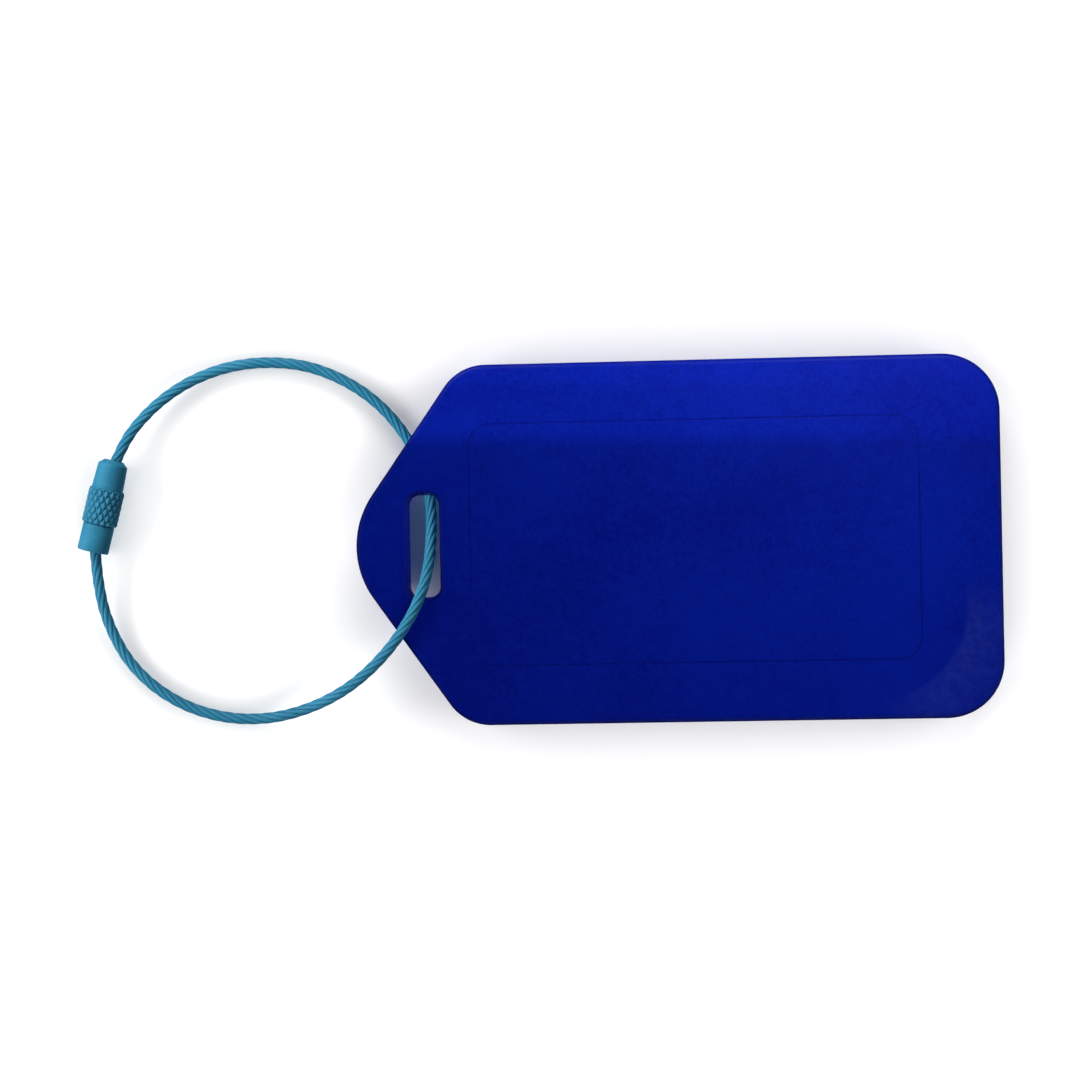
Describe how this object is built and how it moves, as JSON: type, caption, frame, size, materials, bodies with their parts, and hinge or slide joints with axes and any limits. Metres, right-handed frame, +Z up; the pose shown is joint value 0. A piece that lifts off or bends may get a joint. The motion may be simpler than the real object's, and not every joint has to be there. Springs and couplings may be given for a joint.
{
  "type": "luggage tag",
  "caption": "Flat luggage tag with a slotted nose, a hinged clear window over an address card underneath, and a coated wire loop closed by a screw barrel.",
  "frame": {"origin": "on the surface that the tag lies on, under the middle of the tag's body", "axes": "+X along the tag from the slotted nose to the square end, +Y across it, +Z up out of its closed face"},
  "size_m": [0.1338, 0.0542, 0.0069],
  "materials": {
    "blue_plastic": "satin moulded, fine grain",
    "clear_plastic": "clear polished",
    "card": "uncoated card with plain ruled lines",
    "coated_rope": "turquoise coating over twisted steel strands",
    "painted_barrel": "turquoise paint, satin",
    "steel": "plain drawn steel"
  },
  "bodies": {
    "tag": {"back_shell": "blue_plastic", "front_frame": "blue_plastic", "hinge_pin": "steel", "address_card": "card"},
    "window": {"clear_window": "clear_plastic"},
    "loop": {"wire_rope": "coated_rope", "threaded_end": "painted_barrel"},
    "rope_end": {"stop_ferrule": "steel"},
    "sleeve": {"knurled_sleeve": "painted_barrel"}
  },
  "joints": [
    {"name": "loop_swing", "type": "hinge", "parent": "tag", "child": "loop", "pos_m": [-0.03647, 0, 0.00347], "axis": [1, 0, 0], "range_deg": [-140, 0]},
    {"name": "window_hinge", "type": "hinge", "parent": "tag", "child": "window", "pos_m": [-0.0289, 0, 0.00105], "axis": [0, 1, 0], "range_deg": [0, 95]},
    {"name": "rope_end_slide", "type": "slide", "parent": "loop", "child": "rope_end", "axis": [0.2504, 0.9681, 0], "range_m": [0, 0.0035], "deforming": ["wire_rope"]},
    {"name": "sleeve_spin", "type": "hinge", "parent": "rope_end", "child": "sleeve", "pos_m": [-0.0853, 0.0002, 0.00265], "axis": [0.2504, 0.9681, 0], "range_deg": [0, 2520]}
  ],
  "couplings": [
    {"joint": "sleeve_spin", "follows": "rope_end_slide", "rad_per_m": 12566}
  ]
}
